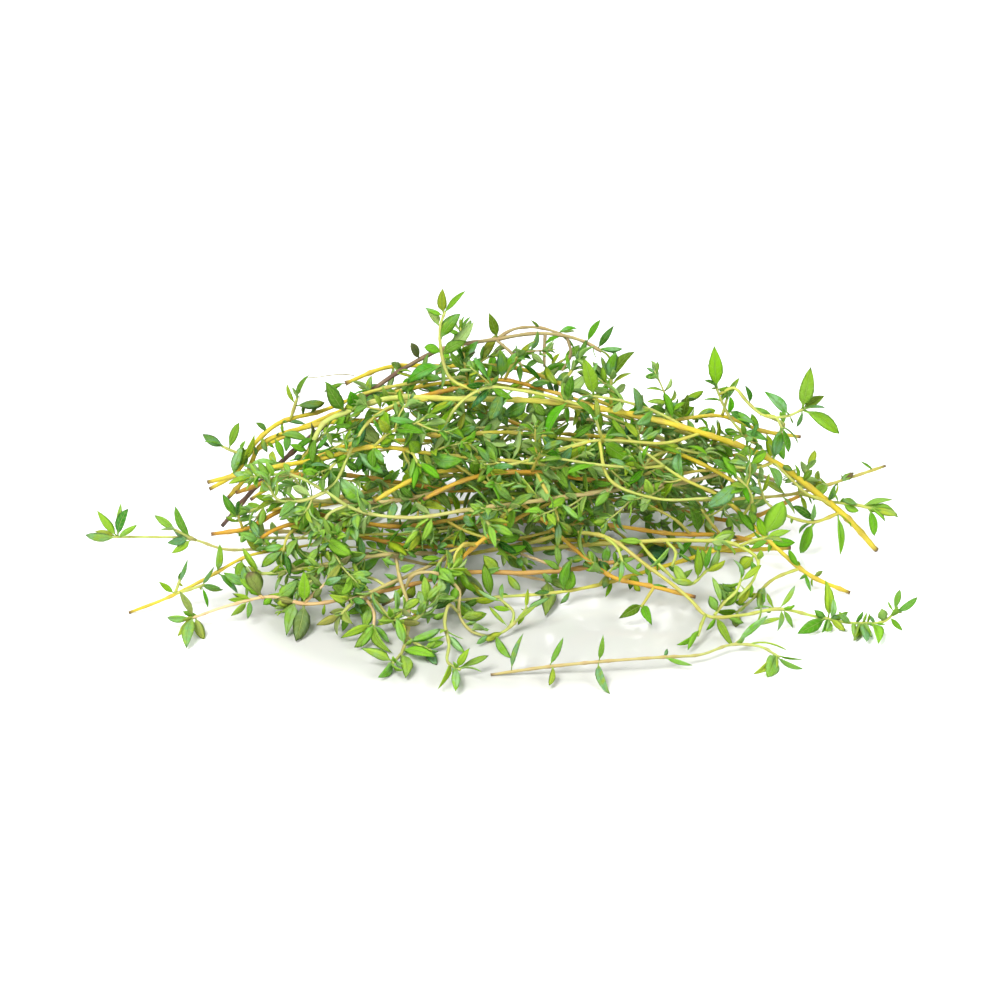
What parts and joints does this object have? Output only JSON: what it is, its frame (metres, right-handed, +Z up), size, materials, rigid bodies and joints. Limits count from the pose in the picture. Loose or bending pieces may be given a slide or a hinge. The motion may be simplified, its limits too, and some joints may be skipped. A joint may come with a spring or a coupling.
{
  "type": "thyme bundle",
  "caption": "Loose heap of fresh cut thyme sprigs lying along one direction, with woody stems, side shoots and small paired leaves.",
  "frame": {"origin": "on the surface the heap lies on, under the middle of the heap's bounding box", "axes": "+X along the heap and most of its stems, +Y from the loose front sprigs to the back, +Z up"},
  "size_m": [0.1843, 0.11, 0.0685],
  "materials": {
    "leaf": "matt mid-green leaf with a faint grey bloom, paler below",
    "young_leaf": "satin yellow-green young leaf",
    "straw_stem": "smooth straw-yellow bark with fine lengthwise fibres",
    "brown_stem": "orange-brown woody bark with fine lengthwise fibres",
    "dark_stem": "dark purplish-brown woody bark",
    "olive_stem": "olive-green soft stem",
    "pale_stem": "pale green young stem, flushed pink in places",
    "rosy_stem": "orange-brown stem that turns pinkish tan towards its young end"
  },
  "bodies": {
    "root": {"great_arch": "leaf", "left_straw": "leaf", "left_upper_arch": "leaf", "left_low_arch": "leaf", "dark_stem": "leaf", "short_brown_end": "leaf", "left_orange": "leaf", "left_low_orange": "leaf", "far_left_straw": "leaf", "far_left_tip": "young_leaf", "low_left_runner": "young_leaf", "pink_curl": "young_leaf", "left_leafy_low": "young_leaf", "left_leafy_mid": "young_leaf", "front_leafy": "young_leaf", "front_clump": "young_leaf", "front_runner": "young_leaf", "right_runner": "young_leaf", "orange_diagonal": "leaf", "right_thin_end": "young_leaf", "low_crossing": "leaf", "right_curve": "leaf", "mid_golden": "leaf", "mid_orange": "leaf", "pink_long": "young_leaf", "bright_diagonal": "leaf", "top_back_straw": "leaf", "top_mid_pink": "leaf", "olive_middle": "young_leaf", "right_cut_high": "leaf", "right_dark_end": "leaf", "right_golden_end": "leaf", "right_brown_low": "leaf", "back_low_straw": "leaf", "back_low_brown": "leaf", "back_mid_straw": "leaf", "back_mid_pale": "young_leaf", "back_high_straw": "leaf", "back_crossing": "leaf", "inner_low_straw": "leaf", "inner_low_pale": "young_leaf", "inner_mid_olive": "young_leaf"}
  },
  "joints": []
}
